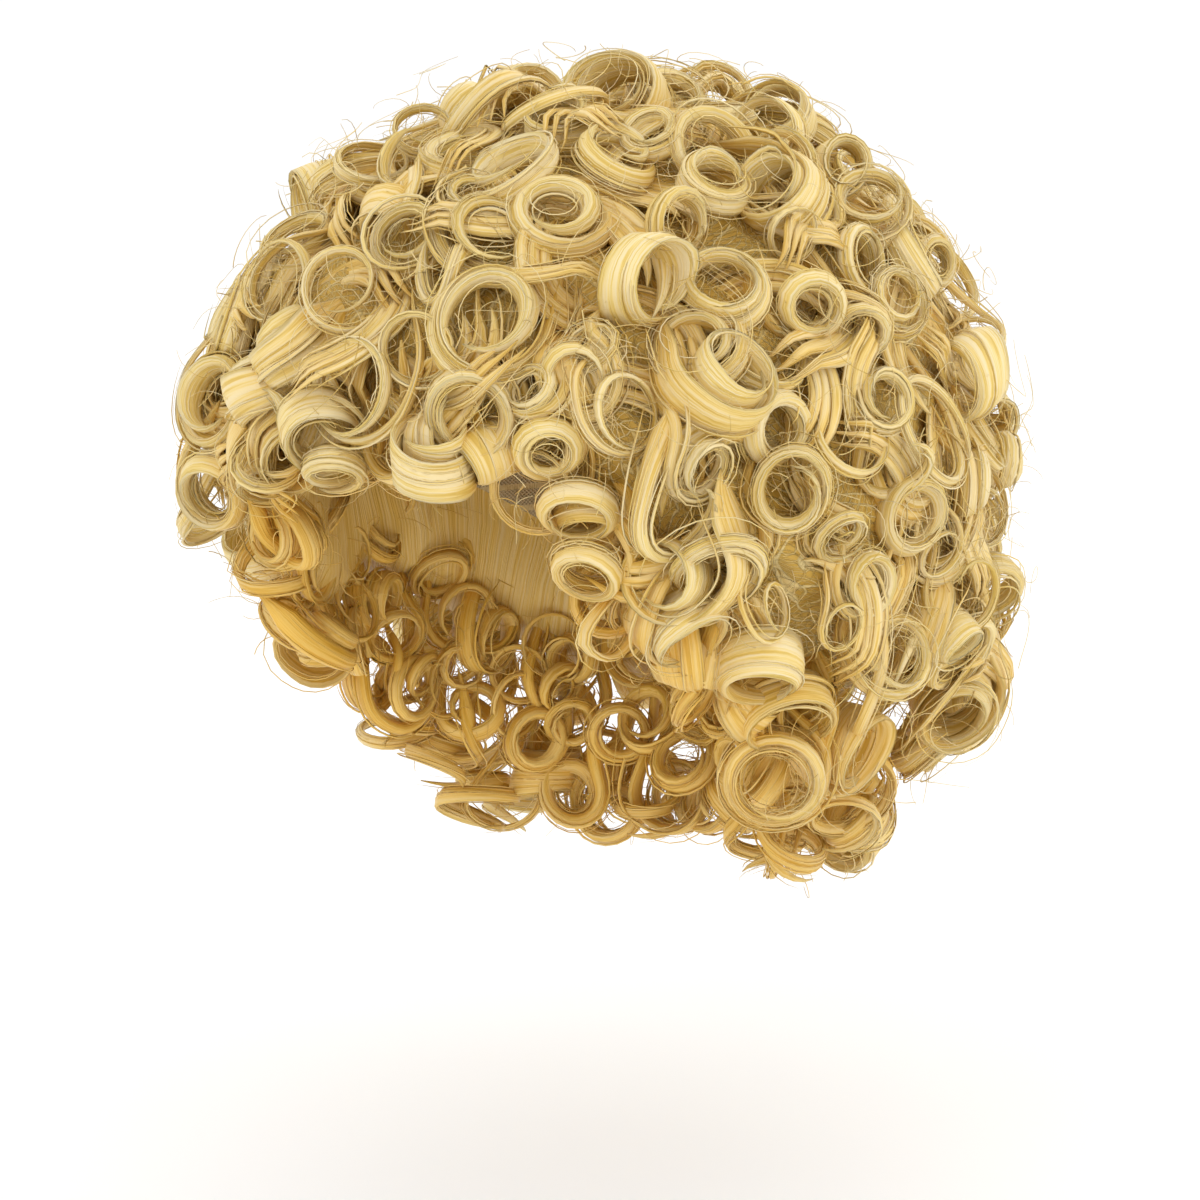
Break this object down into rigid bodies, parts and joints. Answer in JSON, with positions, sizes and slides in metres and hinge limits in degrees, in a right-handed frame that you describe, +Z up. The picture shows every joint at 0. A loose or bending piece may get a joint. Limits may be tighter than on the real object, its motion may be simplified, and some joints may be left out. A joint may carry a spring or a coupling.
{
  "type": "curly costume wig",
  "caption": "Short, full costume wig of round ringlets in locks on a thin stretch cap, in the form it has when worn, open below for the head.",
  "frame": {"origin": "inside of the cap where the top of the head rests", "axes": "+Z up, the wig faces -Y, +X is the wearer's left"},
  "size_m": [0.2888, 0.286, 0.2969],
  "materials": {
    "cap": "stretch net cap sewn with rows of hair, in the hair's colour",
    "hair": "glossy synthetic hair, warm blond with darker golden streaks"
  },
  "bodies": {
    "root": {"wig_cap": "cap", "hair_crown": "hair", "hair_fringe": "hair", "hair_side_left": "hair", "hair_side_right": "hair", "hair_back": "hair", "hair_nape": "hair"}
  },
  "joints": []
}
